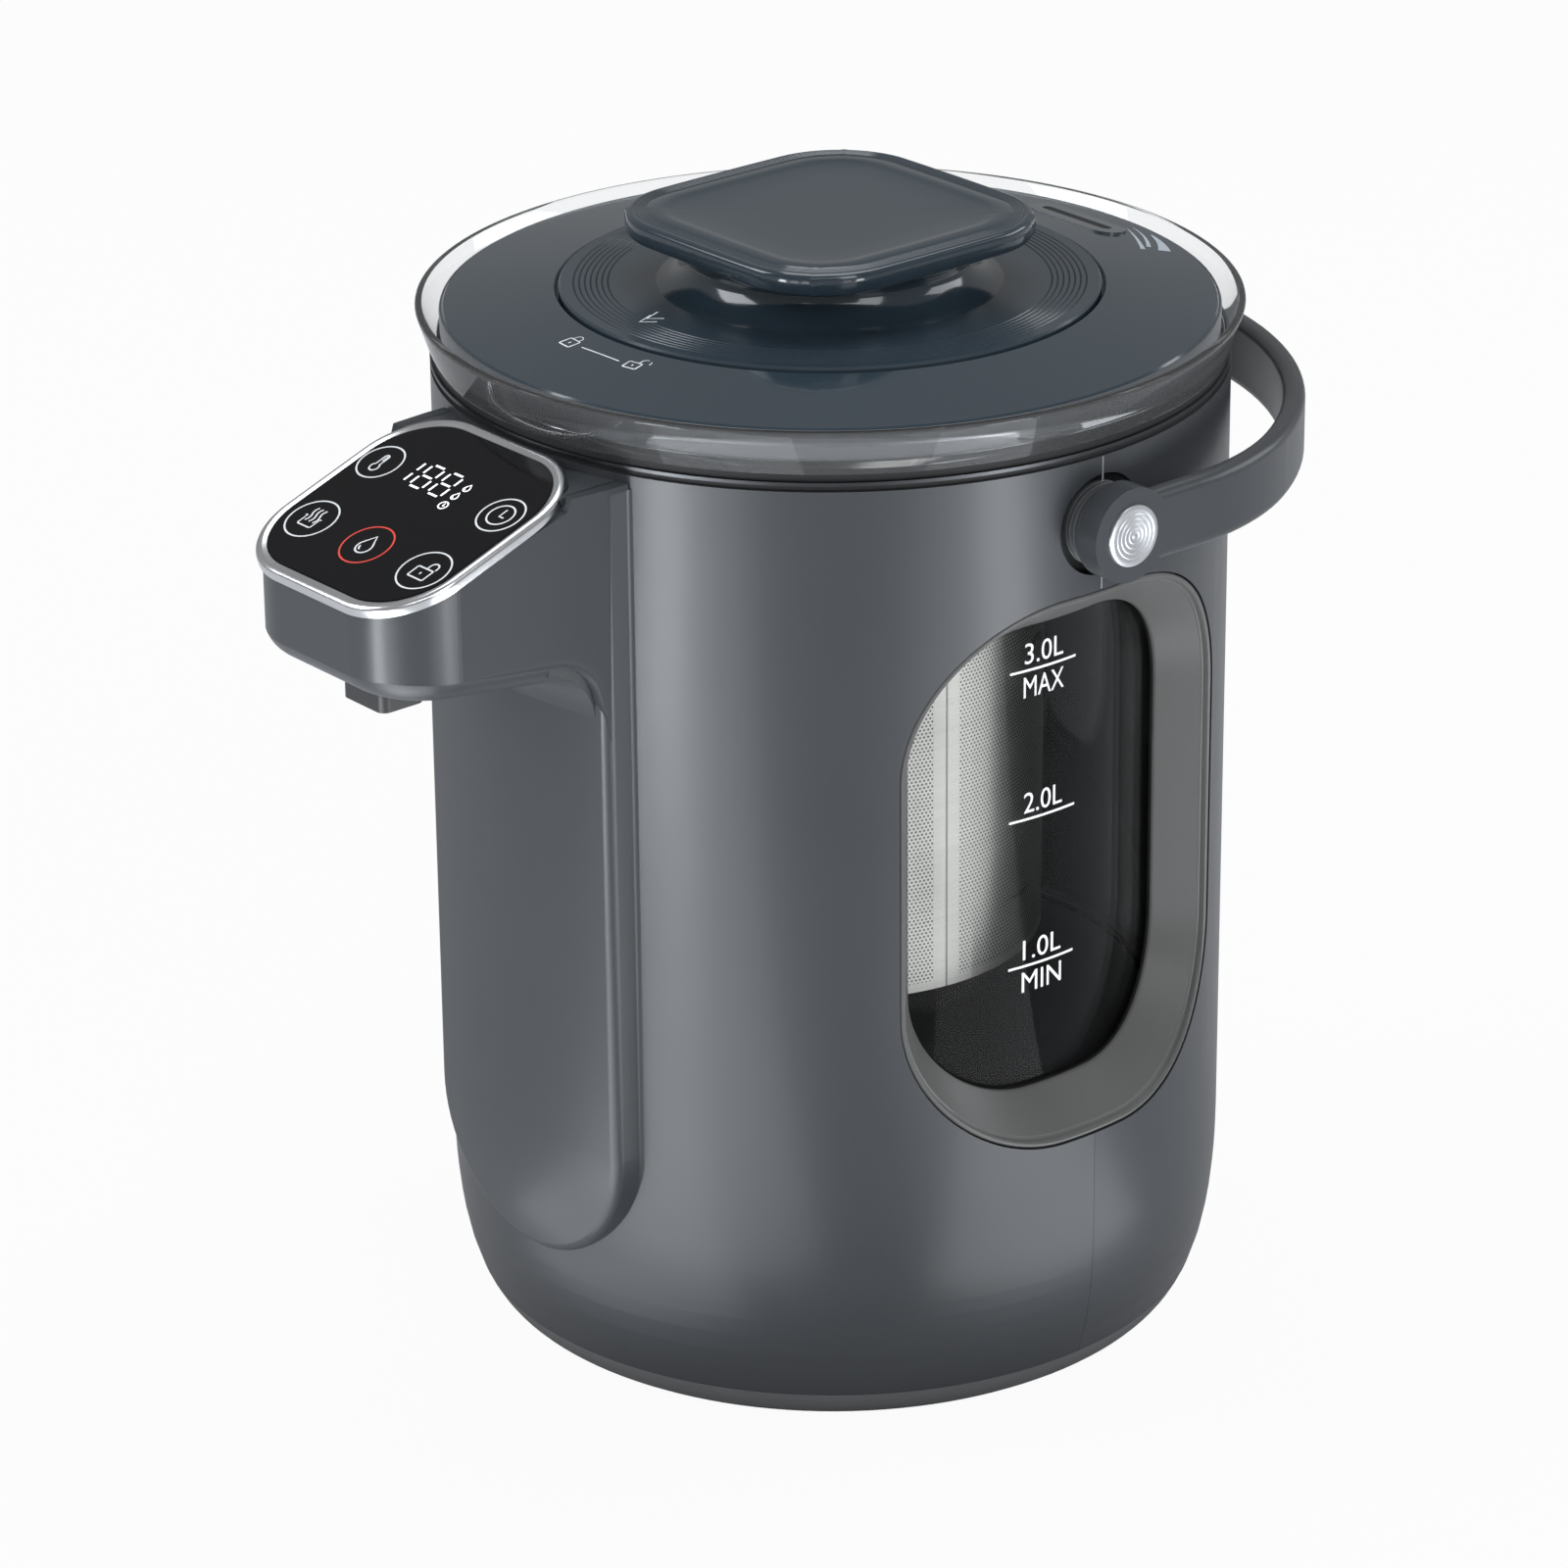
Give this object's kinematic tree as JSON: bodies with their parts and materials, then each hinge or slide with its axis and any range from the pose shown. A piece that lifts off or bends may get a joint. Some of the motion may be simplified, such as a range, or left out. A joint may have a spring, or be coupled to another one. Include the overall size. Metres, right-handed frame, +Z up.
{
  "type": "electric water dispenser",
  "caption": "Desk-top electric hot water dispenser with a glass jar in a round grey body, a tilted touch panel over the spout, a twist cap, a lift-out tea infuser and a bail handle",
  "frame": {"origin": "on the standing surface, under the jar's axis", "axes": "+Z up; -Y to the user, where the spout points; +X to the right-hand window as seen from the spout side"},
  "size_m": [0.2342, 0.2973, 0.3045],
  "materials": {
    "body_plastic": "satin grey moulding with a fine mould texture",
    "lid_plastic": "glossy slate moulding",
    "base_plastic": "matt black moulding",
    "inner_plastic": "plain dark moulding",
    "clear_glass": "clear borosilicate glass",
    "panel_glass": "black printed cover glass",
    "bright_trim": "polished chrome",
    "turned_metal": "turned aluminium with fine rings",
    "sheet_steel": "brushed stainless steel",
    "silicone": "black silicone",
    "hose": "translucent silicone hose",
    "board": "circuit board with parts",
    "dark_part": "black moulded part"
  },
  "bodies": {
    "root": {"front_shell": "body_plastic", "rear_shell": "body_plastic", "window_frame_right": "body_plastic", "window_frame_left": "body_plastic", "base_cover": "base_plastic", "foot_ring": "silicone", "base_screws": "sheet_steel", "trim_ring": "bright_trim", "jar_gasket": "silicone", "glass_jar": "clear_glass", "jar_bottom_seal": "silicone", "heater_plate": "sheet_steel", "jar_cradle": "inner_plastic", "heating_element": "sheet_steel", "temperature_sensor": "sheet_steel", "thermal_cutout": "dark_part", "pump_housing": "inner_plastic", "pump_motor": "sheet_steel", "inlet_hose": "hose", "riser_hose": "hose", "spout_nozzle": "dark_part", "control_board": "board", "display_module": "dark_part", "touch_panel": "panel_glass", "panel_bezel": "bright_trim", "power_board": "board", "power_inlet": "dark_part", "inlet_pins": "turned_metal", "handle_boss_right": "lid_plastic", "handle_boss_left": "lid_plastic", "pivot_pin_right": "sheet_steel", "pivot_pin_left": "sheet_steel", "lid_ring": "lid_plastic", "lid_seal": "silicone", "steam_vent_trim": "sheet_steel"},
    "handle": {"handle_bail": "body_plastic", "handle_cap_right": "turned_metal", "handle_cap_left": "turned_metal"},
    "infuser": {"infuser_basket": "sheet_steel", "infuser_collar": "lid_plastic"},
    "plug": {"cap_plug": "lid_plastic", "cap_seal": "silicone"},
    "cap": {"cap_disc": "lid_plastic", "cap_knob": "lid_plastic", "cap_screw": "sheet_steel"},
    "impeller": {"pump_impeller": "inner_plastic"}
  },
  "joints": [
    {"name": "handle_swing", "type": "hinge", "parent": "root", "child": "handle", "pos_m": [0, 0, 0.2472], "axis": [1, 0, 0], "range_deg": [0, 90]},
    {"name": "infuser_lift", "type": "slide", "parent": "root", "child": "infuser", "axis": [0, 0, -1], "range_m": [-0.2, 0]},
    {"name": "cap_lift", "type": "slide", "parent": "infuser", "child": "plug", "axis": [0, 0, -1], "range_m": [-0.08, 0]},
    {"name": "cap_twist", "type": "hinge", "parent": "plug", "child": "cap", "pos_m": [0, 0, 0.286], "axis": [0, 0, 1], "range_deg": [0, 18]},
    {"name": "pump_spin", "type": "hinge", "parent": "root", "child": "impeller", "pos_m": [-0.0104, -0.066, 0.046], "axis": [0, 0, 1], "continuous": true}
  ]
}
